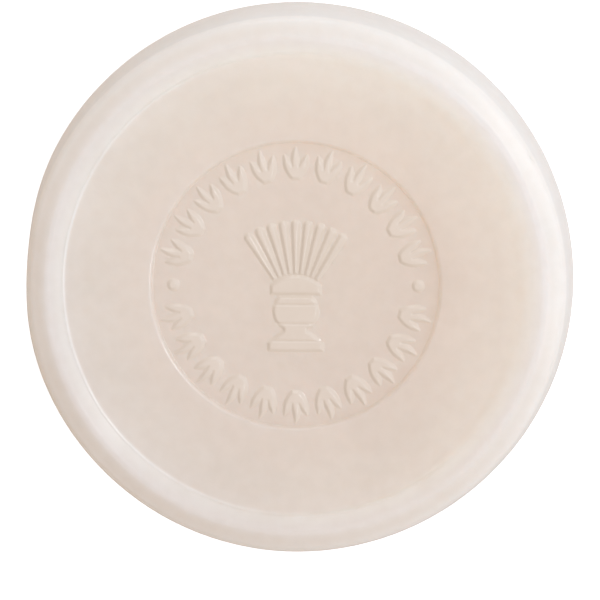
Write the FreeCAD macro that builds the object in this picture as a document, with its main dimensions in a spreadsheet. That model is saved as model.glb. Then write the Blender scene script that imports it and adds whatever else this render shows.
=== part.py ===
import FreeCAD, Part
import math
import os

import Sketcher

# Shaving soap puck, in millimetres: one pressed cake with a stamped panel in its face, and the
# raised marks that stand in the panel. The cake lies on its plain back, centred on the Z axis,
# with the stamped face up and the emblem upright along +Y.

DIMENSIONS = (
    ("cake_diameter", 66.0, "across the widest part of the side wall"),
    ("cake_thickness", 20.0, "back face to the crest of the rim"),
    ("belly_height", 11.6, "height of the widest part of the side wall"),
    ("side_crown", 28.0, "radius of the barrel-shaped side wall, seen in section"),
    ("back_round", 2.0, "radius of the back edge"),
    ("lip_height", 18.45, "top of the side wall, under the parting line"),
    ("dish_diameter", 55.0, "dish, across the foot of the rim"),
    ("dish_depth", 1.28, "crest of the rim to the face"),
    ("wall_slope", 68.0, "slope of the rim where it rises from the dish, in degrees"),
    ("wall_round", 0.6, "radius between the foot of the rim and its inner slope"),
    ("inner_slope", 32.0, "slope of the rim inside its crest, in degrees"),
    ("crest_round", 1.0, "radius of the rim's crest, seen in section"),
    ("outer_slope", 24.0, "slope of the rim outside its crest, in degrees"),
    ("outer_run", 1.35, "width of the outer slope"),
    ("shoulder_round", 1.46, "radius between the outer slope and the parting line"),
    ("shoulder_slope", 60.0, "slope of the shoulder at the parting line, in degrees"),
    ("panel_diameter", 34.5, "stamped panel, at the level of the face"),
    ("panel_depth", 0.5, "depth of the stamped panel"),
    ("panel_draft", 30.0, "draft of the panel's edge, in degrees"),
    ("relief_height", 0.42, "height of the raised marks"),
    ("relief_draft", 12.0, "draft of the raised marks, in degrees"),
    ("border_foot", 12.75, "distance from the axis to the foot of a palmette"),
    ("palmette_length", 3.7, "palmette, foot to middle tip"),
    ("palmette_spread", 1.35, "half the distance between a palmette's side tips"),
    ("palmette_foot", 0.4, "half the width of a palmette's foot"),
    ("side_tip_rise", 2.75, "foot of a palmette to its side tips"),
    ("crotch_rise", 1.5, "foot of a palmette to the notch beside its middle leaf"),
    ("crotch_spread", 0.4, "half the distance between a palmette's notches"),
    ("leaf_round", 3.0, "radius of the edges of a palmette's leaves"),
    ("border_count", 11, "palmettes in the upper half of the border, and in the lower half"),
    ("border_pitch", 15.0, "angle between two palmettes, in degrees"),
    ("bead_radius", 0.6, "round bead between the two halves of the border"),
    ("bead_distance", 14.5, "distance from the axis to a bead"),
    ("fan_drop", 3.2, "distance from the axis down to the centre of the bristle fan"),
    ("fan_inner", 4.65, "centre of the fan to the foot of a bristle tuft"),
    ("fan_outer", 10.9, "centre of the fan to the tip of a bristle tuft"),
    ("tuft_count", 9, "bristle tufts in the fan"),
    ("fan_angle", 64.0, "angle between the first and the last tuft, in degrees"),
    ("tuft_foot", 0.17, "half the width of a tuft at its foot"),
    ("tuft_tip", 0.42, "half the width of a tuft near its tip"),
    ("collar_half_width", 2.9, "half the width of the brush's collar"),
    ("collar_top", 4.3, "radius of the collar's top edge, about the centre of the fan"),
    ("collar_foot", -1.0, "level of the collar's lower edge"),
    ("neck_half_width", 1.9, "half the width of the handle under the collar"),
    ("neck_level", -1.4, "level of the handle's upper end"),
    ("waist_half_width", 1.4, "half the width of the handle's waist"),
    ("waist_level", -5.3, "level of the handle's waist"),
    ("waist_band", 0.4, "height of the straight band at the handle's waist"),
    ("bulb_round", 2.3, "radius of the handle's bulb, seen from the front"),
    ("foot_half_width", 3.2, "half the width of the handle's foot"),
    ("foot_top_level", -6.9, "level of the top of the handle's foot"),
    ("foot_level", -7.8, "level of the bottom of the handle's foot"),
)

SPARE_CELL = "E1"

FACE_LEVEL = "(dims.cake_thickness - dims.dish_depth)"
PANEL_LEVEL = f"({FACE_LEVEL} - dims.panel_depth)"
RELIEF_LEVEL = f"({PANEL_LEVEL} + dims.relief_height)"


def make_sheet(doc):
    """The spreadsheet of driving dimensions: name, value and meaning in each row."""
    sheet = doc.addObject("Spreadsheet::Sheet", "dims")
    for row, (name, value, meaning) in enumerate(DIMENSIONS, start=1):
        sheet.set(f"A{row}", name)
        sheet.set(f"B{row}", str(value))
        sheet.set(f"C{row}", meaning)
        sheet.setAlias(f"B{row}", name)
    doc.recompute()
    return sheet


def worth(item, formula):
    """The number that a formula of the sheet's dimensions comes to."""
    sheet = item.Document.getObject("dims")
    sheet.set(SPARE_CELL, "=" + formula.replace("dims.", ""))
    sheet.recompute()
    number = float(sheet.get(SPARE_CELL))
    sheet.clear(SPARE_CELL)
    return number


def make_body(doc, name):
    """An empty body whose label names its file."""
    body = doc.addObject("PartDesign::Body", name)
    body.Label = name
    body.Placement = FreeCAD.Placement()
    return body


def make_sketch(body, name, role="XY_Plane", level="0", turn="0", drop="0"):
    """A sketch on one of the body's origin planes, raised to level, turned and lowered along Y."""
    plane = next(item for item in body.Origin.OriginFeatures if item.Role == role)
    sketch = body.newObject("Sketcher::SketchObject", name)
    sketch.AttachmentSupport = [(plane, "")]
    sketch.MapMode = "FlatFace"
    turned = FreeCAD.Rotation(FreeCAD.Vector(0, 0, 1), worth(sketch, turn))
    sketch.AttachmentOffset = FreeCAD.Placement(FreeCAD.Vector(), turned)
    sketch.setExpression("AttachmentOffset.Base.y", f"-({drop})")
    sketch.setExpression("AttachmentOffset.Base.z", level)
    return sketch


def pin(sketch, geometry, point, x, y):
    """Hold a point of the sketch at x, y, each a formula of the sheet's dimensions."""
    for kind, formula, axis in (("DistanceX", x, -2), ("DistanceY", y, -1)):
        value = worth(sketch, formula)
        if value == 0:
            sketch.addConstraint(Sketcher.Constraint("PointOnObject", geometry, point, axis))
            continue
        index = sketch.addConstraint(Sketcher.Constraint(kind, -1, 1, geometry, point, value))
        sketch.setExpression(f"Constraints[{index}]", formula)


def bulged_middle(start, end, radius, side):
    """The middle of the arc from start to end; side 1 bulges to the right of the way along it."""
    along = end - start
    half = along.Length / 2
    rise = radius - math.sqrt(radius ** 2 - half ** 2)
    across = FreeCAD.Vector(along.y, -along.x, 0).normalize()
    return (start + end) / 2 + across * rise * side


def closed_outline(sketch, corners, arcs):
    """A closed outline through corners, each an x and a y formula. arcs gives the edges that are
    arcs, by the number of the corner where they start, with a radius formula and a side."""
    places = []
    for x, y in corners:
        places.append(FreeCAD.Vector(worth(sketch, x), worth(sketch, y), 0))
    ends = []
    for number, start in enumerate(places):
        end = places[(number + 1) % len(places)]
        if number in arcs:
            formula, side = arcs[number]
            radius = worth(sketch, formula)
            middle = bulged_middle(start, end, radius, side)
            edge = sketch.addGeometry(Part.Arc(start, middle, end), False)
            index = sketch.addConstraint(Sketcher.Constraint("Radius", edge, radius))
            sketch.setExpression(f"Constraints[{index}]", formula)
        else:
            edge = sketch.addGeometry(Part.LineSegment(start, end), False)
        forward = sketch.getPoint(edge, 1).distanceToPoint(start) < 1e-6
        ends.append((edge, 1, 2) if forward else (edge, 2, 1))
    for number, (edge, first, _) in enumerate(ends):
        before, _, last = ends[number - 1]
        sketch.addConstraint(Sketcher.Constraint("Coincident", before, last, edge, first))
        pin(sketch, edge, first, *corners[number])


def mirrored_outline(sketch, right_side, arcs):
    """A closed outline that is the same on both sides of the Y axis. right_side runs from its
    lowest corner to its top one, and a top corner on the axis isn't doubled."""
    left_side = [(f"-({x})", y) for x, y in reversed(right_side) if x != "0"]
    total = len(right_side) + len(left_side)
    both = dict(arcs)
    for number, shape in arcs.items():
        both[total - 2 - number] = shape
    closed_outline(sketch, right_side + left_side, both)


def raise_mark(body, sketch, name):
    """Pad a mark from its outline, drawn at its top, down to the floor of the panel."""
    pad = body.newObject("PartDesign::Pad", name)
    pad.Profile = sketch
    pad.Reversed = True
    pad.setExpression("Length", "dims.relief_height")
    pad.setExpression("TaperAngle", "dims.relief_draft * 1 deg")
    return pad


def repeat_around(body, sketch, feature, count, angle, name):
    """Repeat a feature about the normal through the sketch's origin."""
    pattern = body.newObject("PartDesign::PolarPattern", name)
    pattern.Originals = [feature]
    pattern.Axis = (sketch, ["N_Axis"])
    pattern.setExpression("Angle", f"({angle}) * 1 deg")
    pattern.setExpression("Occurrences", count)
    body.Tip = pattern
    return pattern


def rim_corners():
    """The corners of the rim's section, from the parting line in to the foot of the dish."""
    inner_rise = (
        "(dims.dish_depth - dims.wall_round * (cos(dims.inner_slope) - cos(dims.wall_slope))"
        " - dims.crest_round * (1 - cos(dims.inner_slope)))"
    )
    wall_top = (
        "dims.dish_diameter / 2"
        " + dims.wall_round * (sin(dims.wall_slope) - sin(dims.inner_slope))"
    )
    crest_inside = f"{wall_top} + {inner_rise} / tan(dims.inner_slope)"
    crest_outside = (
        f"{crest_inside} + dims.crest_round * (sin(dims.inner_slope) + sin(dims.outer_slope))"
    )
    shoulder = f"{crest_outside} + dims.outer_run"
    crease = (
        f"{shoulder}"
        " + dims.shoulder_round * (sin(dims.shoulder_slope) - sin(dims.outer_slope))"
    )
    crest_outside_level = "dims.cake_thickness - dims.crest_round * (1 - cos(dims.outer_slope))"
    shoulder_level = f"{crest_outside_level} - dims.outer_run * tan(dims.outer_slope)"
    crease_level = (
        f"{shoulder_level}"
        " - dims.shoulder_round * (cos(dims.outer_slope) - cos(dims.shoulder_slope))"
    )
    return [
        (crease, crease_level),
        (shoulder, shoulder_level),
        (crest_outside, crest_outside_level),
        (crest_inside, "dims.cake_thickness - dims.crest_round * (1 - cos(dims.inner_slope))"),
        (
            wall_top,
            f"{FACE_LEVEL}"
            " + dims.wall_round * (cos(dims.inner_slope) - cos(dims.wall_slope))",
        ),
        ("dims.dish_diameter / 2", FACE_LEVEL),
    ]


def cake_profile(sketch):
    """Half of the cake's section, from the axis along the back, up the side and over the rim."""
    crown_axis = "(dims.cake_diameter / 2 - dims.side_crown)"
    short_crown = "(dims.side_crown - dims.back_round)"
    round_rise = "(dims.belly_height - dims.back_round)"
    round_reach = f"sqrt({short_crown} ^ 2 - {round_rise} ^ 2)"
    lip_reach = "sqrt(dims.side_crown ^ 2 - (dims.lip_height - dims.belly_height) ^ 2)"
    corners = [
        ("0", "0"),
        (f"{crown_axis} + {round_reach}", "0"),
        (
            f"{crown_axis} + dims.side_crown * {round_reach} / {short_crown}",
            f"dims.belly_height - dims.side_crown * {round_rise} / {short_crown}",
        ),
        (f"{crown_axis} + {lip_reach}", "dims.lip_height"),
        *rim_corners(),
        ("0", FACE_LEVEL),
    ]
    arcs = {
        1: ("dims.back_round", 1),
        2: ("dims.side_crown", 1),
        4: ("dims.shoulder_round", 1),
        6: ("dims.crest_round", 1),
        8: ("dims.wall_round", 1),
    }
    closed_outline(sketch, corners, arcs)


def soap_cake(doc):
    """The pressed cake: barrel side, rounded rim, shallow dish and the panel stamped in it."""
    body = make_body(doc, "soap_cake")
    profile = make_sketch(body, "cake_section", role="XZ_Plane")
    cake_profile(profile)
    cake = body.newObject("PartDesign::Revolution", "pressed_cake")
    cake.Profile = profile
    cake.ReferenceAxis = (profile, ["V_Axis"])
    cake.Angle = 360.0
    doc.recompute()
    whole = cake.Shape.Volume
    panel = make_sketch(body, "panel_outline", level=PANEL_LEVEL)
    floor_radius = "dims.panel_diameter / 2 - dims.panel_depth * tan(dims.panel_draft)"
    radius = worth(panel, floor_radius)
    circle = panel.addGeometry(Part.Circle(FreeCAD.Vector(), FreeCAD.Vector(0, 0, 1), radius))
    panel.addConstraint(Sketcher.Constraint("Coincident", circle, 3, -1, 1))
    index = panel.addConstraint(Sketcher.Constraint("Radius", circle, radius))
    panel.setExpression(f"Constraints[{index}]", floor_radius)
    stamp = body.newObject("PartDesign::Pocket", "stamped_panel")
    stamp.Profile = panel
    stamp.Reversed = True
    stamp.setExpression("Length", "dims.panel_depth")
    stamp.setExpression("TaperAngle", "dims.panel_draft * 1 deg")
    doc.recompute()
    removed = whole - body.Shape.Volume
    least = math.pi * radius ** 2 * worth(panel, "dims.panel_depth")
    if not least < removed < 1.1 * least:
        raise RuntimeError(f"the panel removes {removed:.0f} cubic mm, not about {least:.0f}")
    return body


def palmette_outline(sketch):
    """Three pointed leaves on one foot, pointing away from the axis."""
    foot = "dims.border_foot"
    right_side = [
        ("dims.palmette_foot", foot),
        ("dims.palmette_spread", f"{foot} + dims.side_tip_rise"),
        ("dims.crotch_spread", f"{foot} + dims.crotch_rise"),
        ("0", f"{foot} + dims.palmette_length"),
    ]
    arcs = {
        0: ("dims.leaf_round", 1),
        1: ("dims.leaf_round", 1),
        2: ("dims.leaf_round", 1),
    }
    mirrored_outline(sketch, right_side, arcs)


def border_half(doc, name, first_angle):
    """A row of palmettes along one half of the panel's edge."""
    body = make_body(doc, name)
    turn = f"{first_angle} + dims.border_pitch - 90"
    sketch = make_sketch(body, f"{name}_outline", level=RELIEF_LEVEL, turn=turn)
    palmette_outline(sketch)
    palmette = raise_mark(body, sketch, f"{name}_palmette")
    doc.recompute()
    sweep = "dims.border_pitch * (dims.border_count - 1)"
    repeat_around(body, sketch, palmette, "dims.border_count", sweep, f"{name}_row")
    return body


def border_beads(doc):
    """The two round beads that part the upper and lower rows of palmettes."""
    body = make_body(doc, "border_beads")
    sketch = make_sketch(body, "bead_outline", level=RELIEF_LEVEL)
    place = FreeCAD.Vector(worth(sketch, "dims.bead_distance"), 0, 0)
    radius = worth(sketch, "dims.bead_radius")
    circle = sketch.addGeometry(Part.Circle(place, FreeCAD.Vector(0, 0, 1), radius))
    pin(sketch, circle, 3, "dims.bead_distance", "0")
    index = sketch.addConstraint(Sketcher.Constraint("Radius", circle, radius))
    sketch.setExpression(f"Constraints[{index}]", "dims.bead_radius")
    bead = raise_mark(body, sketch, "bead")
    doc.recompute()
    repeat_around(body, sketch, bead, "2", "360", "bead_pair")
    return body


def emblem_bristles(doc):
    """The brush's bristles: a fan of narrow tufts, each wider at its rounded tip."""
    body = make_body(doc, "emblem_bristles")
    turn = "-dims.fan_angle / 2"
    sketch = make_sketch(
        body, "tuft_outline", level=RELIEF_LEVEL, turn=turn, drop="dims.fan_drop"
    )
    shoulder = "dims.fan_outer - dims.tuft_tip"
    right_side = [
        ("dims.tuft_foot", "dims.fan_inner"),
        ("dims.tuft_tip", shoulder),
    ]
    mirrored_outline(sketch, right_side, {1: ("dims.tuft_tip * 1.001", 1)})
    tuft = raise_mark(body, sketch, "tuft")
    doc.recompute()
    repeat_around(body, sketch, tuft, "dims.tuft_count", "dims.fan_angle", "tuft_fan")
    return body


def emblem_collar(doc):
    """The brush's collar, domed to follow the feet of the tufts."""
    body = make_body(doc, "emblem_collar")
    sketch = make_sketch(body, "collar_outline", level=RELIEF_LEVEL)
    half = "dims.collar_half_width"
    dome_edge = f"sqrt(dims.collar_top ^ 2 - {half} ^ 2) - dims.fan_drop"
    mirrored_outline(
        sketch,
        [(half, "dims.collar_foot"), (half, dome_edge)],
        {1: ("dims.collar_top", 1)},
    )
    raise_mark(body, sketch, "collar")
    return body


def emblem_handle(doc):
    """The brush's turned handle: a bulb, a waist and a flared foot."""
    body = make_body(doc, "emblem_handle")
    sketch = make_sketch(body, "handle_outline", level=RELIEF_LEVEL)
    right_side = [
        ("dims.foot_half_width", "dims.foot_level"),
        ("dims.foot_half_width", "dims.foot_top_level"),
        ("dims.waist_half_width", "dims.waist_level - dims.waist_band / 2"),
        ("dims.waist_half_width", "dims.waist_level + dims.waist_band / 2"),
        ("dims.neck_half_width", "dims.neck_level"),
    ]
    mirrored_outline(sketch, right_side, {3: ("dims.bulb_round", 1)})
    raise_mark(body, sketch, "handle")
    return body


def check(doc, bodies):
    """Stop if any object failed to compute, or any sub-part isn't a sound solid."""
    doc.recompute()
    for item in doc.Objects:
        if "Invalid" in item.State or "Error" in item.State:
            raise RuntimeError(f"{item.Label} didn't compute: {item.State}")
    for body in bodies:
        if body.Shape.isNull() or not body.Shape.isValid():
            raise RuntimeError(f"{body.Label} has no valid shape")


def main():
    doc = FreeCAD.newDocument("shaving_soap_puck")
    make_sheet(doc)
    bodies = [
        soap_cake(doc),
        border_half(doc, "upper_border", 0),
        border_half(doc, "lower_border", 180),
        border_beads(doc),
        emblem_bristles(doc),
        emblem_collar(doc),
        emblem_handle(doc),
    ]
    check(doc, bodies)
    os.makedirs("parts", exist_ok=True)
    for body in bodies:
        body.Shape.exportStep(f"parts/{body.Label}.step")
        count = len(body.Shape.Solids)
        print(f"{body.Label}: {count} solids, {body.Shape.Volume:.2f} cubic mm")


main()
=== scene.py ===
import math

import bpy
import numpy as np
from mathutils import Matrix, Vector


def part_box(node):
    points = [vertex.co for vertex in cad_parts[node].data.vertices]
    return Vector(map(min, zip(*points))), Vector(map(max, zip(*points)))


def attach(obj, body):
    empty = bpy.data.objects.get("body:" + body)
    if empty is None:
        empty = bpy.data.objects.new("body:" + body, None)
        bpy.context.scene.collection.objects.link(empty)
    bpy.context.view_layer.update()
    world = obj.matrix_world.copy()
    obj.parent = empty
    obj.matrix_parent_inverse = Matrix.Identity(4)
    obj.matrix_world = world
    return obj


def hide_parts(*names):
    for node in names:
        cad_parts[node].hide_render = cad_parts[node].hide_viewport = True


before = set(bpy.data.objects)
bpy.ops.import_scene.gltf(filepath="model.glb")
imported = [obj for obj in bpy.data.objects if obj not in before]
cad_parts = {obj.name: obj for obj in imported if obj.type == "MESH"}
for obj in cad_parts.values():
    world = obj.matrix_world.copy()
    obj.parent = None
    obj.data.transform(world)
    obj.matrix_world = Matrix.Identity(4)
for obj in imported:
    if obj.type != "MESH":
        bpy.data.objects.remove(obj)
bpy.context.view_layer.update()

# A pressed shaving soap puck on its back, stamped face up, in metres. The cake is a lathed skin
# with the wear of a pressed cake. The raised marks are bumps with soft edges that rise out of the
# floor of the stamped panel. Everything takes its place from the cake's CAD box. Angles are in
# degrees, anticlockwise from +X seen from above, and colours are linear.

MM = 0.001
CAKE_LOW, CAKE_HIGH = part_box("soap_cake")
CAKE_RADIUS = (CAKE_HIGH.x - CAKE_LOW.x) / 2
CREST = CAKE_HIGH.z

# ---- the cake's section, from the middle of its back to the middle of its panel ----

BELLY = 11.6 * MM            # height of the widest line
CROWN = 28.0 * MM            # radius of the curve of the side
BACK_ROUND = 2.0 * MM
LIP = 18.45 * MM             # height of the parting line, where the side meets the rim
DISH_FOOT = 27.32 * MM
PANEL_RADIUS = 17.25 * MM
PANEL_DEPTH = 0.5 * MM
PANEL_DRAFT = 30.0
PANEL_EDGE = 0.40 * MM       # rounding of the panel's edge, and of the corner at its floor
PANEL_CORNER = 0.15 * MM

# the rim from the foot of the dish outward: slope at each end, and the bend's radius, less than
# zero in a hollow, or, where the slope stays the same, the run's width. Its first FOOT_ROWS rows
# are the steep foot.
FOOT_SLOPE = 60.0
INNER_SLOPE = 32.0
OUTER_SLOPE = -24.0
SHOULDER_SLOPE = -60.0
RIM = (
    (0.0, FOOT_SLOPE, -0.45 * MM),
    (FOOT_SLOPE, INNER_SLOPE, 0.30 * MM),
    (INNER_SLOPE, INNER_SLOPE, 1.277 * MM),
    (INNER_SLOPE, OUTER_SLOPE, 1.00 * MM),
    (OUTER_SLOPE, OUTER_SLOPE, 1.35 * MM),
    (OUTER_SLOPE, SHOULDER_SLOPE, 1.46 * MM),
)
FOOT_ROWS = 2

# how finely the stretches of the section are divided
BACK_STEPS = 26
BACK_ROUND_STEPS = 12
SIDE_STEPS = 44
LIP_STEPS = 4
RIM_STEPS = 10
DISH_STEPS = 48
EASED_STEPS = 8
PANEL_WALL_STEPS = 3
PANEL_STEPS = 56
TURNS = 640

# ---- wear ----

# where the side, the rim and the dish begin, and over what distance
SIDE_FROM = 28.5 * MM
SIDE_OVER = 3.0 * MM
RIM_FROM = 27.0 * MM
RIM_OVER = 1.5 * MM
DISH_FROM = 15.0 * MM
DISH_OVER = 3.0 * MM

# wavy lines round the cake: how far they stray, the numbers of waves in them, and a seed; and
# the range of shares that the waves of one line have
ROUND_WAVES = (0.05 * MM, (2, 3, 5), 3)
SIDE_WAVES = (0.02 * MM, (13, 29, 53, 83, 127), 29)
PARTING_WAVES = (0.07 * MM, (31, 47, 73, 101, 139), 5)
PARTING_LIFT = (0.04 * MM, (19, 37, 67, 113), 7)
CREST_WAVES = (0.035 * MM, (2, 4, 7, 11, 23), 13)
FOOT_WAVES = (0.10 * MM, (7, 11, 17, 26, 41), 11)
WAVE_SHARES = (0.5, 1.0)

# uneven patches: how high they are, how far across a bump is, and a seed; then how many ripples
# make up a patch, their lengths as shares of a bump, and what their sum is divided by
DISH_RIPPLES = (0.020 * MM, 9.0 * MM, 17)
WORN_RIPPLES = (
    (0.022 * MM, 1.7 * MM, 19),
    (0.010 * MM, 0.7 * MM, 23),
)
RIPPLES = 14
RIPPLE_LENGTHS = (1.2, 2.6)
RIPPLE_SUM = 5.0

# the flat on one side, and how much of it is gone at the crest and at the back
FLAT_AT = 176.0
FLAT_DEPTH = 0.60 * MM
FLAT_WIDTH = 15.0
FLAT_FADE_UP = 0.62
FLAT_FADE_DOWN = 0.5

# the parting line, and the nicks in it: direction, depth, width in degrees
PARTING = LIP + 0.2 * MM
PARTING_WIDTH = 0.35 * MM
NICKS = (
    (29.0, 0.22 * MM, 0.9),
    (22.0, 0.16 * MM, 0.7),
    (-17.0, 0.20 * MM, 1.1),
    (118.0, 0.14 * MM, 1.0),
    (-128.0, 0.12 * MM, 0.8),
)

# the foot of the dish wanders, more so on one side, and melts into a wide hollow on another
FOOT_WIDTH = 0.9 * MM
FOOT_WAVY_AT = -140.0
FOOT_WAVY_WIDTH = 60.0
FOOT_WAVY_SHARE = 0.6
SOFT_FOOT_AT = 15.0
SOFT_FOOT_HOLLOW = 4.0 * MM
SOFT_FOOT_FROM = 0.1
SOFT_FOOT_OVER = 0.6

# the worn patch of the dish: direction and width in degrees, distance out and width
WORN_AT = -98.0
WORN_SPAN = 34.0
WORN_RADIUS = 22.5 * MM
WORN_WIDTH = 3.4 * MM

# pits in the dish: x, y, across, depth
PITS = (
    (-23.2 * MM, -1.4 * MM, 0.35 * MM, 0.05 * MM),
    (-19.6 * MM, 11.8 * MM, 0.25 * MM, 0.06 * MM),
    (9.5 * MM, -22.3 * MM, 0.30 * MM, 0.05 * MM),
    (21.4 * MM, 8.3 * MM, 0.22 * MM, 0.05 * MM),
    (3.2 * MM, 23.0 * MM, 0.25 * MM, 0.04 * MM),
)

# ---- the raised marks ----

RELIEF = 0.42 * MM
SOFT_EDGE = 0.30 * MM        # how far a mark's edge reaches to either side of its outline
MARK_GRID = 0.07 * MM
SINK = 0.02 * MM             # how far the foot of that edge lies below the panel's floor
ROOT = 0.08 * MM             # how deep a mark's underside lies in the cake
ARC_STEPS = 10

# the right half of a palmette that points up, from its foot to its tip: x, height above its
# foot, and the radius of the arc to the next corner
PALMETTE_FOOT = 12.75 * MM
PALMETTE = (
    (0.4 * MM, 0.0, 3.0 * MM),
    (1.35 * MM, 2.75 * MM, 3.0 * MM),
    (0.4 * MM, 1.5 * MM, 3.0 * MM),
    (0.0, 3.7 * MM, None),
)
PALMETTES = 11
PALMETTE_TURN = 15.0
UP = 90.0

BEAD_PLACE = 14.5 * MM
BEAD_RADIUS = 0.6 * MM
BEAD_SIDES = 24

# the brush: its tufts fan out from a point below the panel's middle, and the collar ends on an
# arc round the same point
FAN_DROP = 3.2 * MM
TUFT = (
    (0.17 * MM, 4.65 * MM, None),
    (0.42 * MM, 10.48 * MM, 0.4205 * MM),
)
TUFTS = 9
TUFT_TURN = 8.0
COLLAR_HALF = 2.9 * MM
COLLAR_FOOT = -1.0 * MM
COLLAR_ARC = 4.3 * MM
HANDLE = (
    (3.2 * MM, -7.8 * MM, None),
    (3.2 * MM, -6.9 * MM, None),
    (1.4 * MM, -5.5 * MM, None),
    (1.4 * MM, -5.1 * MM, 2.3 * MM),
    (1.9 * MM, -1.4 * MM, None),
)
HANDLE_RINGS = (-2.3 * MM, -4.6 * MM, -6.65 * MM)
RING_DEPTH = 0.45
RING_WIDTH = 0.16 * MM

# ---- the soap ----

# colour at distances from the middle, in mm, on the side away from the key light, with painted light
# and shade in it: the face grows paler towards the dish foot, the foot has a pale band as a painted
# highlight, the rim's crest and outer slope are darker as painted shade, and a dark line just
# outside the parting line is a painted shadow of its groove
SHADED_SIDE_ZONES = (
    (0.0, (0.783, 0.686, 0.568)),
    (17.4, (0.788, 0.691, 0.577)),
    (24.5, (0.787, 0.710, 0.606)),
    (26.8, (0.801, 0.728, 0.633)),
    # painted highlight: the pale band at the foot of the dish
    (27.8, (0.822, 0.765, 0.680)),
    # painted shade: the rim's darker crest and outer slope
    (29.4, (0.773, 0.701, 0.619)),
    (30.6, (0.750, 0.674, 0.583)),
    (31.95, (0.782, 0.722, 0.638)),
    # painted shadow of the parting line's groove, fading out towards the widest line
    (32.08, (0.715, 0.668, 0.598)),
    (32.6, (0.740, 0.690, 0.616)),
    (33.0, (0.762, 0.706, 0.628)),
)

# the same on the key light's side, with painted light: the rim paler, as where light comes through
# it, and the same painted groove shadow outside the parting line
LIT_ZONES = (
    (0.0, (0.783, 0.686, 0.568)),
    (17.4, (0.788, 0.691, 0.577)),
    (23.5, (0.785, 0.711, 0.612)),
    (26.0, (0.796, 0.734, 0.650)),
    # painted light: the rim paler where light comes through it
    (28.0, (0.812, 0.767, 0.700)),
    (29.3, (0.800, 0.756, 0.704)),
    (30.6, (0.764, 0.713, 0.642)),
    (31.95, (0.782, 0.722, 0.638)),
    # painted shadow of the parting line's groove
    (32.08, (0.715, 0.668, 0.598)),
    (32.6, (0.740, 0.690, 0.616)),
    (33.0, (0.762, 0.706, 0.628)),
)

# painted highlights: pale lines along the panel's edge and the foot of the dish, on the side whose
# walls face the lights
HIGHLIGHT_LINE_ZONES = (
    (16.90, (0.0, 0.0, 0.0)),
    (17.13, (0.6, 0.6, 0.6)),
    (17.38, (0.0, 0.0, 0.0)),
    (27.22, (0.0, 0.0, 0.0)),
    (27.46, (1.0, 1.0, 1.0)),
    (27.72, (0.0, 0.0, 0.0)),
)
HIGHLIGHT_LINE_TINT = (1.10, 1.12, 1.15)
PLAIN = (1.0, 1.0, 1.0)

# what changes from one side of the cake to the other: the way it goes, and the shares of the
# radius along that way between which it happens
WHOLE = (-1.0, 1.0)
LIT = ((0.93, 0.37, 0.0), (0.2, 0.9))
# painted highlight: the side where the pale lines along the edges show
HIGHLIGHT_LINE_SIDE = ((-0.97, -0.25, 0.0), (0.1, 0.7))
# painted light: colour darker towards the bottom and lighter towards the top
UPWARD_LIGHT = ((0.35, 0.94, 0.0), WHOLE)
# painted light: the side away from the key paler and bluer, against the warm light that falls there
COOLED_SHADE_SIDE = ((-1.0, 0.0, 0.0), WHOLE)
CLOUDED = ((0.95, 0.30, 0.0), WHOLE)

# tints at the two ends of a change
# painted light, darker at the bottom end and lighter at the top
UPWARD_LIGHT_TINTS = ((0.895, 0.870, 0.855), (0.985, 0.975, 0.962))
# painted light, paler and bluer away from the key
COOLED_SHADE_SIDE_TINTS = ((1.011, 1.013, 1.020), (1.036, 1.073, 1.122))

# mottling: the noise's scale, detail and range, and the tints at its two ends
BLOTCHES = (90.0, 3.0, 0.35, 0.65)
BLOTCH_TINTS = ((0.985, 0.980, 0.975), (1.01, 1.01, 1.01))
SPECKLES = (600.0, 3.0, 0.35, 0.65)
SPECKLE_TINTS = ((0.985, 0.981, 0.976), (1.008, 1.010, 1.012))

# gloss: the bare soap's roughness, and the fine grain under it
SOAP_IOR = 1.45
CAKE_GLOSS = (0.285, 0.33)
GLOSS_CLOUDS = (260.0, 4.0, 0.3, 0.7)
GRAIN = (1500.0, 4.0, 0.2, 0.8)
GRAIN_STRENGTH = 0.25
GRAIN_DEPTH = 0.04 * MM

# the waxy film in the dish, and how far from its centre it thins out, on the plain side and on
# the lit side
WAX_IOR = 1.6
WAX_GLOSS = 0.13
WAX_CENTRE = (-0.40 * MM, 0.0, 0.0)
WAX_FROM = (27.35 * MM, 23.5 * MM)
WAX_END = 27.6 * MM

# how far light spreads inside the soap, by colour, and how much of it does at the two ends of
# CLOUDED
SPREAD = 19.0 * MM
SPREAD_RGB = (1.0, 0.9, 0.85)
SPREAD_SHARES = (0.80, 1.0)

# the marks' shading is turned towards that of the flat face, as light spreading inside soap does,
# and their colour has a painted highlight where a mark's side slopes
MARK_SOFTNESS = 0.82
# the marks' own tint, then the painted highlight on their slopes
MARK_AND_HIGHLIGHT_TINTS = ((1.01, 0.978, 0.952), (1.19, 1.15, 1.11))
MARK_TILTS = (1.0, 0.65)

# ---- the studio ----

# name, direction, height above the floor in degrees, distance, disc's diameter, watts
LIGHTS = (
    ("key", 26, 45, 0.80, 0.27, 0.86),
    ("side", -18, 44, 0.80, 0.20, 0.38),
    ("back", 96, 12, 0.80, 0.30, 0.28),
)
BRIGHT_WAY = (0.86, 0.42, 0.36)
BRIGHT_AIR = (1.00, 1.076, 1.227)
DIM_AIR = (0.588, 0.460, 0.344)
WHITE = (1.0, 1.0, 1.0)
FLOOR_SIZE = 6.0
FLOOR_DROP = 0.02 * MM
FLOOR_COLOUR = (0.9, 0.9, 0.9)
FLOOR_ROUGHNESS = 0.9
FLOOR_GLOW = 0.6

LENS = 303.6
SENSOR = 36.0
NEAREST = 0.01
AIM = (0.49 * MM, -1.85 * MM, 17.6 * MM)
TILT_RIGHT = 2.4
TILT_UP = 8.7
REACH = 0.6


# ---- numbers and curves ----

def smooth(value):
    value = np.clip(value, 0.0, 1.0)
    return value * value * (3 - 2 * value)


def bell(value, centre, width):
    return np.exp(-((value - centre) / width) ** 2)


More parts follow.
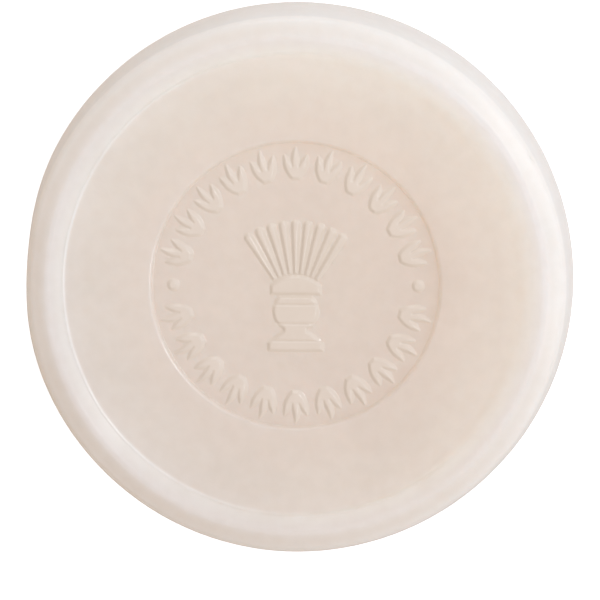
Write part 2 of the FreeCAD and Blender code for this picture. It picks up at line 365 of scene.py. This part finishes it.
def away(angle, centre):
    """How far each angle, in radians, is from centre, in degrees, the short way round."""
    return (np.degrees(angle) - centre + 180) % 360 - 180


def wavy(angle, depth, counts, seed):
    """A wavy line round the cake that strays by depth to either side."""
    draw = np.random.default_rng(seed)
    total = np.zeros_like(angle)
    for count in counts:
        wave = np.sin(count * angle + draw.uniform(0, 2 * math.pi))
        total += wave * draw.uniform(*WAVE_SHARES)
    return depth * total / len(counts)


def worn_away(angle, depth, counts, seed):
    """The same line moved over, so that it strays to one side only."""
    return depth + wavy(angle, depth, counts, seed)


def ripples(x, y, height, size, seed):
    """An uneven surface with bumps about size across."""
    draw = np.random.default_rng(seed)
    total = np.zeros_like(x)
    for _ in range(RIPPLES):
        way = draw.uniform(0, 2 * math.pi)
        length = size * draw.uniform(*RIPPLE_LENGTHS)
        total += np.sin(2 * math.pi * (x * math.cos(way) + y * math.sin(way)) / length
                        + draw.uniform(0, 2 * math.pi))
    return height * total / RIPPLE_SUM


def stretch(first, last, steps):
    """Points of a straight stretch, without its last one."""
    return [tuple(np.add(first, np.multiply(np.subtract(last, first), k / steps)))
            for k in range(steps)]


def bend(centre, radius, first, last, steps):
    """Points of an arc from angle first to last, without its last one."""
    points = []
    for k in range(steps):
        angle = math.radians(first + (last - first) * k / steps)
        points.append((centre[0] + radius * math.cos(angle), centre[1] + radius * math.sin(angle)))
    return points


def eased(before, corner, after, radius):
    """Points of the arc that takes the sharpness off a corner between two straight edges."""
    before, corner, after = (np.array(point) for point in (before, corner, after))
    back = (before - corner) / np.linalg.norm(before - corner)
    ahead = (after - corner) / np.linalg.norm(after - corner)
    half = math.acos(back @ ahead) / 2
    middle = (back + ahead) / np.linalg.norm(back + ahead)
    centre = corner + middle * radius / math.sin(half)
    first, last = (corner + way * radius / math.tan(half) - centre for way in (back, ahead))
    turn = math.pi - 2 * half
    points = []
    for k in range(EASED_STEPS + 1):
        share = turn * k / EASED_STEPS
        spoke = (math.sin(turn - share) * first + math.sin(share) * last) / math.sin(turn)
        points.append(tuple(centre + spoke))
    return points


def curved(start, end, radius):
    """Points of the arc from start to end that bulges to the right of the way along it, or start
    alone where radius is None, which is for a straight edge."""
    start = np.array(start, float)
    end = np.array(end, float)
    if radius is None:
        return [tuple(start)]
    along = end - start
    half = np.linalg.norm(along) / 2
    across = np.array([along[1], -along[0]]) / (2 * half)
    centre = (start + end) / 2 - across * math.sqrt(radius ** 2 - half ** 2)
    first = math.atan2(*(start - centre)[::-1])
    turn = 2 * math.asin(half / radius)
    return [tuple(centre + radius * np.array([math.cos(first + turn * k / ARC_STEPS),
                                              math.sin(first + turn * k / ARC_STEPS)]))
            for k in range(ARC_STEPS)]


def mirrored(right_side):
    """An outline that is the same on both sides of its Y axis, from corners (x, y, radius), where
    radius is that of the arc from there to the next corner, or None for a straight edge."""
    corners = [(x, y) for x, y, _ in right_side]
    bends = [radius for _, _, radius in right_side]
    left = [(-x, y) for x, y in reversed(corners) if x > 0]
    both = corners + left
    shapes = bends + [None] * len(left)
    for k, radius in enumerate(bends):
        shapes[len(both) - 2 - k] = radius
    outline = []
    for k, corner in enumerate(both):
        outline += curved(corner, both[(k + 1) % len(both)], shapes[k])
    return np.array(outline)


def outline_distance(points, outline):
    """Distance from each point to the outline, less than zero inside it."""
    nearest = np.full(len(points), np.inf)
    inside = np.zeros(len(points), bool)
    for a, b in zip(outline, np.roll(outline, -1, 0)):
        along = b - a
        length = along @ along
        if length == 0:
            continue
        share = np.clip((points - a) @ along / length, 0, 1)
        gap = np.linalg.norm(points - a - share[:, None] * along, axis=1)
        nearest = np.minimum(nearest, gap)
        above = (a[1] > points[:, 1]) != (b[1] > points[:, 1])
        if along[1]:
            crossing = a[0] + (points[:, 1] - a[1]) * along[0] / along[1]
            inside ^= above & (points[:, 0] < crossing)
    return np.where(inside, -nearest, nearest)


def turned(vertices, angle):
    """The vertices turned about the cake's axis."""
    cos, sin = math.cos(math.radians(angle)), math.sin(math.radians(angle))
    x, y, z = vertices.T
    return np.stack([x * cos - y * sin, x * sin + y * cos, z], 1)


# ---- the cake ----

def rim_section():
    """The rim's section from its foot outward, as radius and height above the foot."""
    points = [(0.0, 0.0)]
    for first, last, size in RIM:
        start = points[-1]
        begin = math.radians(first)
        for k in range(1, RIM_STEPS + 1):
            slope = math.radians(first + (last - first) * k / RIM_STEPS)
            if first == last:
                width = size * k / RIM_STEPS
                points.append((start[0] + width, start[1] + width * math.tan(slope)))
            else:
                points.append((start[0] + size * (math.sin(begin) - math.sin(slope)),
                               start[1] + size * (math.cos(slope) - math.cos(begin))))
    return np.array(points)


FACE = CREST - rim_section()[:, 1].max()
PANEL = FACE - PANEL_DEPTH


def side_section():
    """The back, its rounded edge and the curved side, up to the parting line and its point there."""
    crown_axis = CAKE_RADIUS - CROWN
    round_drop = BELLY - BACK_ROUND
    round_axis = crown_axis + math.sqrt((CROWN - BACK_ROUND) ** 2 - round_drop ** 2)
    low_angle = -math.degrees(math.asin(round_drop / (CROWN - BACK_ROUND)))
    lip_angle = math.degrees(math.asin((LIP - BELLY) / CROWN))
    lip_radius = crown_axis + CROWN * math.cos(math.radians(lip_angle))
    points = stretch((0.0, 0.0), (round_axis, 0.0), BACK_STEPS)
    points += bend((round_axis, BACK_ROUND), BACK_ROUND, -90, low_angle, BACK_ROUND_STEPS)
    points += bend((crown_axis, BELLY), CROWN, low_angle, lip_angle, SIDE_STEPS)
    return points, (lip_radius, LIP)


def panel_section():
    """The dish from the foot of the rim inward, and the sunk panel."""
    foot = (DISH_FOOT, FACE)
    edge = (PANEL_RADIUS, FACE)
    corner = (PANEL_RADIUS - PANEL_DEPTH * math.tan(math.radians(PANEL_DRAFT)), PANEL)
    middle = (0.0, PANEL)
    top = eased(foot, edge, corner, PANEL_EDGE)
    low = eased(edge, corner, middle, PANEL_CORNER)
    points = stretch(foot, top[0], DISH_STEPS) + top[:-1]
    points += stretch(top[-1], low[0], PANEL_WALL_STEPS) + low[:-1]
    points += stretch(low[-1], middle, PANEL_STEPS)
    return points + [middle]


def cake_section():
    """The cake's section as radius and height, from the middle of the back to that of the panel."""
    points, lip = side_section()
    rim = rim_section() + (DISH_FOOT, FACE)
    points += stretch(lip, tuple(rim[-1]), LIP_STEPS)
    points += [tuple(point) for point in rim[:0:-1]]
    return np.array(points + panel_section())


def lathe(section):
    """Vertices and faces of a closed body of revolution, with one vertex at each end of its axis."""
    rings = section[1:-1]
    angles = np.arange(TURNS) * 2 * math.pi / TURNS
    ring = np.stack([np.cos(angles), np.sin(angles)], 1)
    vertices = [(0.0, 0.0, section[0][1])]
    for radius, height in rings:
        vertices += [(radius * x, radius * y, height) for x, y in ring]
    vertices.append((0.0, 0.0, section[-1][1]))
    faces = []
    last = len(vertices) - 1
    top = 1 + (len(rings) - 1) * TURNS
    for k in range(TURNS):
        n = (k + 1) % TURNS
        faces.append((0, 1 + n, 1 + k))
        faces.append((last, top + k, top + n))
    for row in range(len(rings) - 1):
        low = 1 + row * TURNS
        high = low + TURNS
        for k in range(TURNS):
            n = (k + 1) % TURNS
            faces.append((low + k, low + n, high + n, high + k))
    return np.array(vertices), faces


def softer_foot(radius):
    """How much higher the skin is where a wide hollow, not the pressed foot, leads up to the rim."""
    rim = rim_section() + (DISH_FOOT, 0.0)
    slope = math.radians(INNER_SLOPE)
    start = rim[FOOT_ROWS * RIM_STEPS]
    corner = start[0] - start[1] / math.tan(slope)
    first = corner - SOFT_FOOT_HOLLOW * math.tan(slope / 2)
    width = SOFT_FOOT_HOLLOW * math.sin(slope)
    reach = np.clip(radius - first, 0.0, width)
    hollow = SOFT_FOOT_HOLLOW - np.sqrt(SOFT_FOOT_HOLLOW ** 2 - reach ** 2)
    pressed = np.interp(radius, rim[:, 0], rim[:, 1])
    return np.where(radius < first + width, hollow - pressed, 0.0)


def side_wear(angle, z):
    """How far inward the side lies: the flat, a shape not quite round, and small unevenness."""
    height = np.where(z > BELLY, 1 - FLAT_FADE_UP * (z - BELLY) / (CREST - BELLY),
                      1 - FLAT_FADE_DOWN * (BELLY - z) / BELLY)
    flat = FLAT_DEPTH * bell(away(angle, FLAT_AT), 0, FLAT_WIDTH) * height
    return flat + worn_away(angle, *ROUND_WAVES) + worn_away(angle, *SIDE_WAVES)


def parting_wear(angle):
    """How far inward the ragged parting line lies, with its nicks."""
    wear = worn_away(angle, *PARTING_WAVES)
    for at, deep, wide in NICKS:
        wear += deep * bell(away(angle, at), 0, wide)
    return wear


def foot_wander(angle):
    """How far outward the foot of the dish strays."""
    more = 1 + bell(away(angle, FOOT_WAVY_AT), 0, FOOT_WAVY_WIDTH)
    return wavy(angle, *FOOT_WAVES) * FOOT_WAVY_SHARE * more


def dish_wear(x, y, radius, angle):
    """Faint ripples all over the dish, and finer ones on its worn patch."""
    worn = bell(away(angle, WORN_AT), 0, WORN_SPAN) * bell(radius, WORN_RADIUS, WORN_WIDTH)
    fine = sum(ripples(x, y, *patch) for patch in WORN_RIPPLES)
    return ripples(x, y, *DISH_RIPPLES) + worn * fine


def weathered(vertices):
    """The cake as pressed and handled. The skin only moves inward where it touches the CAD box."""
    x, y, z = vertices.T
    radius = np.hypot(x, y)
    angle = np.arctan2(y, x)
    upper = z > BELLY
    side = smooth((radius - SIDE_FROM) / SIDE_OVER)
    parting = side * bell(z, PARTING, PARTING_WIDTH) * upper
    foot = bell(radius, DISH_FOOT, FOOT_WIDTH) * upper
    rim = smooth((radius - RIM_FROM) / RIM_OVER) * upper
    dish = (1 - rim) * smooth((radius - DISH_FROM) / DISH_OVER) * upper
    facing = np.cos(angle - math.radians(SOFT_FOOT_AT))
    melted = smooth((facing - SOFT_FOOT_FROM) / SOFT_FOOT_OVER) * upper
    shift = foot * foot_wander(angle) - side * side_wear(angle, z) - parting * parting_wear(angle)
    drop = parting * wavy(angle, *PARTING_LIFT)
    drop -= rim * (1 - parting) * worn_away(angle, *CREST_WAVES)
    drop += dish * dish_wear(x, y, radius, angle)
    drop += melted * softer_foot(radius)
    for px, py, across, deep in PITS:
        drop -= upper * deep * bell(np.hypot(x - px, y - py), 0, across)
    scale = 1 + shift / np.maximum(radius, MM)
    return np.stack([x * scale, y * scale, z + drop], 1)


# ---- pieces ----

def new_piece(name, vertices, faces, material, slot, *nodes):
    """A smooth-shaded piece on the puck's one body, standing for the named CAD nodes."""
    mesh = bpy.data.meshes.new(name)
    mesh.from_pydata([tuple(v) for v in vertices], [], faces)
    mesh.update()
    mesh.shade_smooth()
    piece = bpy.data.objects.new(name, mesh)
    bpy.context.scene.collection.objects.link(piece)
    mesh.materials.append(material)
    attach(piece, "root")
    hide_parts(*nodes)
    return piece


def cake(material):
    vertices, faces = lathe(cake_section())
    new_piece("pressed_cake", weathered(vertices), faces, material, "pressed_soap", "soap_cake")


def new_mark(name, shape, material, node):
    """A raised mark. It lets the light through to the soap it stands on."""
    piece = new_piece(name, *shape, material, "relief_soap", node)
    piece.visible_shadow = False
    piece.visible_diffuse = False


def cells_near(near):
    """The cells of a grid that have a point near the outline, and the points that they use."""
    cells = near[:-1, :-1] | near[1:, :-1] | near[:-1, 1:] | near[1:, 1:]
    used = np.zeros(near.shape, bool)
    for i in (0, 1):
        for j in (0, 1):
            used[i:i + cells.shape[0], j:j + cells.shape[1]] |= cells
    return cells, used


def slab_faces(cells, used):
    """Faces of the closed solid whose top and underside are the given cells of a grid."""
    total = int(used.sum())
    number = np.full(used.shape, -1)
    number[used] = np.arange(total)
    padded = np.pad(cells, 1)
    faces = []
    for i, j in zip(*np.nonzero(cells)):
        a, b = number[i, j], number[i + 1, j]
        c, d = number[i + 1, j + 1], number[i, j + 1]
        faces.append((a, b, c, d))
        faces.append((a + total, d + total, c + total, b + total))
        sides = (((a, b), (0, -1)), ((b, c), (1, 0)), ((c, d), (0, 1)), ((d, a), (-1, 0)))
        for (p, q), (di, dj) in sides:
            if not padded[i + 1 + di, j + 1 + dj]:
                faces.append((q, p, p + total, q + total))
    return faces


def bump(outline, carve=None):
    """A raised mark: a closed solid whose top swells softly from the panel inside its outline.
    carve gives the share of its height that is left at each place."""
    low = outline.min(0) - SOFT_EDGE - MARK_GRID
    high = outline.max(0) + SOFT_EDGE + MARK_GRID
    across = np.arange(low[0], high[0] + MARK_GRID, MARK_GRID)
    along = np.arange(low[1], high[1] + MARK_GRID, MARK_GRID)
    grid = np.stack(np.meshgrid(across, along, indexing="ij"), -1)
    distance = outline_distance(grid.reshape(-1, 2), outline).reshape(grid.shape[:2])
    swell = smooth((SOFT_EDGE - distance) / (2 * SOFT_EDGE))
    if carve:
        swell = swell * carve(grid[..., 1])
    top = PANEL - SINK + (RELIEF + SINK) * swell
    cells, used = cells_near(distance < SOFT_EDGE)
    flat = grid[used]
    vertices = np.concatenate([
        np.column_stack([flat, top[used]]),
        np.column_stack([flat, np.full(len(flat), PANEL - ROOT)]),
    ])
    return vertices, slab_faces(cells, used)


def gather(vertex_sets, faces):
    """One list of vertices and one of faces from several copies of a mark."""
    size = len(vertex_sets[0])
    polygons = [tuple(copy * size + k for k in polygon)
                for copy in range(len(vertex_sets)) for polygon in faces]
    return np.concatenate(vertex_sets), polygons


def border(first):
    """Half a ring of palmettes, from the direction first on."""
    outline = mirrored([(x, PALMETTE_FOOT + y, radius) for x, y, radius in PALMETTE])
    vertices, faces = bump(outline)
    places = [first + PALMETTE_TURN * (k + 1) - UP for k in range(PALMETTES)]
    return gather([turned(vertices, place) for place in places], faces)


def beads():
    angles = np.arange(BEAD_SIDES) * 2 * math.pi / BEAD_SIDES
    outline = np.stack([BEAD_PLACE + BEAD_RADIUS * np.cos(angles), BEAD_RADIUS * np.sin(angles)], 1)
    vertices, faces = bump(outline)
    return gather([vertices, turned(vertices, 180.0)], faces)


def bristles():
    vertices, faces = bump(mirrored(TUFT))
    first = -TUFT_TURN * (TUFTS - 1) / 2
    fan = [turned(vertices, first + TUFT_TURN * k) - (0.0, FAN_DROP, 0.0) for k in range(TUFTS)]
    return gather(fan, faces)


def collar():
    top = math.sqrt(COLLAR_ARC ** 2 - COLLAR_HALF ** 2) - FAN_DROP
    return bump(mirrored([(COLLAR_HALF, COLLAR_FOOT, None), (COLLAR_HALF, top, COLLAR_ARC)]))


def handle():
    def rings(y):
        depth = np.ones_like(y)
        for level in HANDLE_RINGS:
            depth = depth - RING_DEPTH * bell(y, level, RING_WIDTH)
        return depth

    return bump(mirrored(HANDLE), rings)


# ---- materials ----

# a Mix node's sockets for its two ends and its result, by the kind of data that it mixes
MIX_SHARE = 0
MIX_SOCKETS = {"RGBA": (6, 7, 2), "VECTOR": (4, 5, 1)}


class Shading:
    """Builds the node tree of one material or world. Where a value goes in, it may be plain or
    another node's output."""

    def __init__(self, tree, coordinates):
        self.nodes = tree.nodes
        self.links = tree.links
        self.coords = self.nodes.new("ShaderNodeTexCoord")
        self.place = self.coords.outputs[coordinates]

    def put(self, value, socket):
        if isinstance(value, bpy.types.NodeSocket):
            self.links.new(value, socket)
        elif socket.type == "RGBA":
            socket.default_value = tuple(value) + (1.0,)
        else:
            socket.default_value = value

    def set_up(self, shader, values):
        """Put values into a node's inputs by name."""
        for name, value in values.items():
            self.put(value, shader.inputs[name])

    def computed(self, kind, operation, *values):
        node = self.nodes.new(kind)
        node.operation = operation
        for value, socket in zip(values, node.inputs):
            self.put(value, socket)
        return node

    def number(self, operation, *values):
        return self.computed("ShaderNodeMath", operation, *values).outputs["Value"]

    def vector(self, operation, *values):
        return self.computed("ShaderNodeVectorMath", operation, *values)

    def ranged(self, value, start, end, low=0.0, high=1.0):
        """value, as it goes from start to end, turned into one that goes from low to high."""
        node = self.nodes.new("ShaderNodeMapRange")
        self.put(value, node.inputs["Value"])
        self.put(start, node.inputs["From Min"])
        self.put(end, node.inputs["From Max"])
        self.put(low, node.inputs["To Min"])
        self.put(high, node.inputs["To Max"])
        return node.outputs["Result"]

    def clouds(self, scale, detail, low, high):
        texture = self.nodes.new("ShaderNodeTexNoise")
        self.put(self.place, texture.inputs["Vector"])
        self.put(scale, texture.inputs["Scale"])
        self.put(detail, texture.inputs["Detail"])
        return self.ranged(texture.outputs["Fac"], low, high)

    def distance_from(self, centre):
        """Distance seen from above from a place in the floor's plane."""
        flat = self.vector("MULTIPLY_ADD", self.place, (1, 1, 0), tuple(-c for c in centre))
        return self.vector("LENGTH", flat.outputs["Vector"]).outputs["Value"]

    def across(self, change, low=0.0, high=1.0):
        """From low to high across the cake."""
        way, (first, last) = change
        along = self.vector("DOT_PRODUCT", self.place, way).outputs["Value"]
        return self.ranged(along, first * CAKE_RADIUS, last * CAKE_RADIUS, low, high)

    def outward(self):
        """From 0 in the middle of the face to 1 at the widest line, and 1 all over the underside."""
        parts = self.nodes.new("ShaderNodeSeparateXYZ")
        self.put(self.place, parts.inputs[0])
        below = self.ranged(parts.outputs["Z"], BELLY, 0.0, 0.0, CAKE_RADIUS)
        distance = self.number("ADD", self.distance_from((0.0, 0.0, 0.0)), below)
        return self.ranged(distance, 0.0, CAKE_RADIUS)

    def by_zone(self, table):
        """The table's colour for the distance from the middle."""
        ramp = self.nodes.new("ShaderNodeValToRGB")
        ramp.color_ramp.interpolation = "EASE"
        stops = ramp.color_ramp.elements
        while len(stops) < len(table):
            stops.new(0.5)
        for stop, (radius, colour) in zip(stops, table):
            stop.position = radius * MM / CAKE_RADIUS
            stop.color = colour + (1.0,)
        self.put(self.outward(), ramp.inputs["Fac"])
        return ramp.outputs["Color"]

    def mixed(self, share, low, high, kind="RGBA", blend="MIX"):
        """From low to high with share; both are colours, unless kind says that they're vectors."""
        first, last, result = MIX_SOCKETS[kind]
        mix = self.nodes.new("ShaderNodeMix")
        mix.data_type = kind
        mix.blend_type = blend
        self.put(share, mix.inputs[MIX_SHARE])
        self.put(low, mix.inputs[first])
        self.put(high, mix.inputs[last])
        return mix.outputs[result]

    def grain(self):
        """The normal with the soap's fine grain in it."""
        node = self.nodes.new("ShaderNodeBump")
        self.put(GRAIN_STRENGTH, node.inputs["Strength"])
        self.put(GRAIN_DEPTH, node.inputs["Distance"])
        self.put(self.clouds(*GRAIN), node.inputs["Height"])
        return node.outputs["Normal"]

    def soap_colour(self, *more_layers):
        """Colour by zone, painted lighter on the lit side and with painted shade on the other, under
        layers of tint, some of which are painted highlights and painted light.
        """
        # painted highlights along the panel's edge and the foot of the dish
        line = self.number("MULTIPLY", self.by_zone(HIGHLIGHT_LINE_ZONES), self.across(HIGHLIGHT_LINE_SIDE))
        layers = (
            self.mixed(line, PLAIN, HIGHLIGHT_LINE_TINT),
            self.mixed(self.clouds(*BLOTCHES), *BLOTCH_TINTS),
            self.mixed(self.clouds(*SPECKLES), *SPECKLE_TINTS),
            # painted light: darker towards the bottom, lighter towards the top
            self.mixed(self.across(UPWARD_LIGHT), *UPWARD_LIGHT_TINTS),
            # painted light: paler and bluer on the side away from the key
            self.mixed(self.across(COOLED_SHADE_SIDE), *COOLED_SHADE_SIDE_TINTS),
            *more_layers,
        )
        # painted light and shade: the zones of the side away from the key mixed with those of the
        # lit side
        colour = self.mixed(self.across(LIT), self.by_zone(SHADED_SIDE_ZONES), self.by_zone(LIT_ZONES))
        for layer in layers:
            colour = self.mixed(1.0, colour, layer, blend="MULTIPLY")
        return colour

    def slope_highlight_tint(self):
        """A tint for the marks, with a painted highlight where the surface tilts."""
        parts = self.nodes.new("ShaderNodeSeparateXYZ")
        self.put(self.coords.outputs["Normal"], parts.inputs[0])
        return self.mixed(self.ranged(parts.outputs["Z"], *MARK_TILTS), *MARK_AND_HIGHLIGHT_TINTS)

    def wax(self):
        """How much of the waxy film is left: all of it in the dish, none on the rim."""
        start = self.across(LIT, *WAX_FROM)
        return self.ranged(self.distance_from(WAX_CENTRE), start, WAX_END, 1.0, 0.0)


def new_material(name):
    """A material, its node builder and its shader."""
    material = bpy.data.materials.new(name)
    material.use_nodes = True
    shading = Shading(material.node_tree, "Object")
    return material, shading, material.node_tree.nodes["Principled BSDF"]


def soap_finish(shading):
    """What the cake and its marks have in common."""
    return {
        "Roughness": shading.ranged(shading.clouds(*GLOSS_CLOUDS), 0.0, 1.0, *CAKE_GLOSS),
        "IOR": SOAP_IOR,
        "Coat IOR": WAX_IOR,
        "Coat Roughness": WAX_GLOSS,
    }


def cake_material():
    """Pressed soap: faint mottling, painted light and shade in its colour, a waxy uneven gloss, a
    fine grain, and light inside it.
    """
    material, shading, shader = new_material("pressed_soap")
    shading.set_up(shader, soap_finish(shading))
    shading.set_up(shader, {
        "Base Color": shading.soap_colour(),
        "Normal": shading.grain(),
        "Coat Weight": shading.wax(),
        "Subsurface Weight": shading.across(CLOUDED, *SPREAD_SHARES),
        "Subsurface Radius": SPREAD_RGB,
        "Subsurface Scale": SPREAD,
    })
    return material


def mark_material():
    """The same soap for the marks, with a painted highlight on their slopes. The softened shading
    stands in for the light inside it, and the film over it keeps the gloss crisp."""
    material, shading, shader = new_material("relief_soap")
    grain = shading.grain()
    shading.set_up(shader, soap_finish(shading))
    shading.set_up(shader, {
        # painted highlight on the marks' sloping sides
        "Base Color": shading.soap_colour(shading.slope_highlight_tint()),
        "Normal": shading.mixed(MARK_SOFTNESS, grain, (0, 0, 1), kind="VECTOR"),
        "Coat Normal": grain,
        "Coat Weight": 1.0,
        "Specular IOR Level": 0.0,
    })
    return material


# ---- the studio ----

def floor():
    bpy.ops.mesh.primitive_plane_add(size=FLOOR_SIZE, location=(0, 0, -FLOOR_DROP))
    plane = bpy.context.object
    plane.name = "studio_floor"
    material, shading, shader = new_material("studio_white")
    shading.set_up(shader, {
        "Base Color": FLOOR_COLOUR,
        "Roughness": FLOOR_ROUGHNESS,
        "Emission Color": WHITE,
        "Emission Strength": FLOOR_GLOW,
    })
    plane.data.materials.append(material)
    plane.visible_diffuse = False
    plane.visible_glossy = False
    plane.visible_shadow = False


def disc_light(name, direction, height, distance, size, watts):
    """A round soft light that looks at the crest of the cake."""
    data = bpy.data.lights.new(name, "AREA")
    data.shape = "DISK"
    data.size = size
    data.energy = watts
    turn, rise = math.radians(direction), math.radians(height)
    place = distance * Vector((math.cos(rise) * math.cos(turn), math.cos(rise) * math.sin(turn),
                               math.sin(rise)))
    light = bpy.data.objects.new(name, data)
    light.location = place
    light.rotation_euler = (Vector((0, 0, CREST)) - place).to_track_quat("-Z", "Y").to_euler()
    bpy.context.scene.collection.objects.link(light)


def soft_surround():
    """White all round to the camera; as light, brighter from the key's side and from above."""
    world = bpy.data.worlds.new("soft_surround")
    world.use_nodes = True
    shading = Shading(world.node_tree, "Generated")
    way = Vector(BRIGHT_WAY).normalized()
    facing = shading.vector("DOT_PRODUCT", shading.place, way).outputs["Value"]
    air = shading.mixed(shading.ranged(facing, -1.0, 1.0), DIM_AIR, BRIGHT_AIR)
    seen = shading.nodes.new("ShaderNodeLightPath").outputs["Is Camera Ray"]
    shading.put(shading.mixed(seen, air, WHITE), world.node_tree.nodes["Background"].inputs["Color"])
    return world


def studio():
    scene = bpy.context.scene
    scene.world = soft_surround()
    scene.view_settings.view_transform = "Standard"
    for light in LIGHTS:
        disc_light(*light)


def camera():
    """A long lens that looks almost straight down, a little from above in the picture."""
    data = bpy.data.cameras.new("camera")
    data.lens = LENS
    data.sensor_width = SENSOR
    data.clip_start = NEAREST
    view = bpy.data.objects.new("camera", data)
    bpy.context.scene.collection.objects.link(view)
    bpy.context.scene.camera = view
    tilt = Vector((math.sin(math.radians(TILT_RIGHT)), math.sin(math.radians(TILT_UP)),
                   math.cos(math.radians(TILT_UP))))
    back = tilt.normalized()
    right = Vector((0, 1, 0)).cross(back).normalized()
    up = back.cross(right)
    view.location = Vector(AIM) + back * REACH
    view.rotation_euler = Matrix((right, up, back)).transposed().to_euler()


cake(cake_material())
relief = mark_material()
new_mark("upper_border_relief", border(0.0), relief, "upper_border")
new_mark("lower_border_relief", border(180.0), relief, "lower_border")
new_mark("border_bead_relief", beads(), relief, "border_beads")
new_mark("emblem_bristle_relief", bristles(), relief, "emblem_bristles")
new_mark("emblem_collar_relief", collar(), relief, "emblem_collar")
new_mark("emblem_handle_relief", handle(), relief, "emblem_handle")
floor()
studio()
camera()
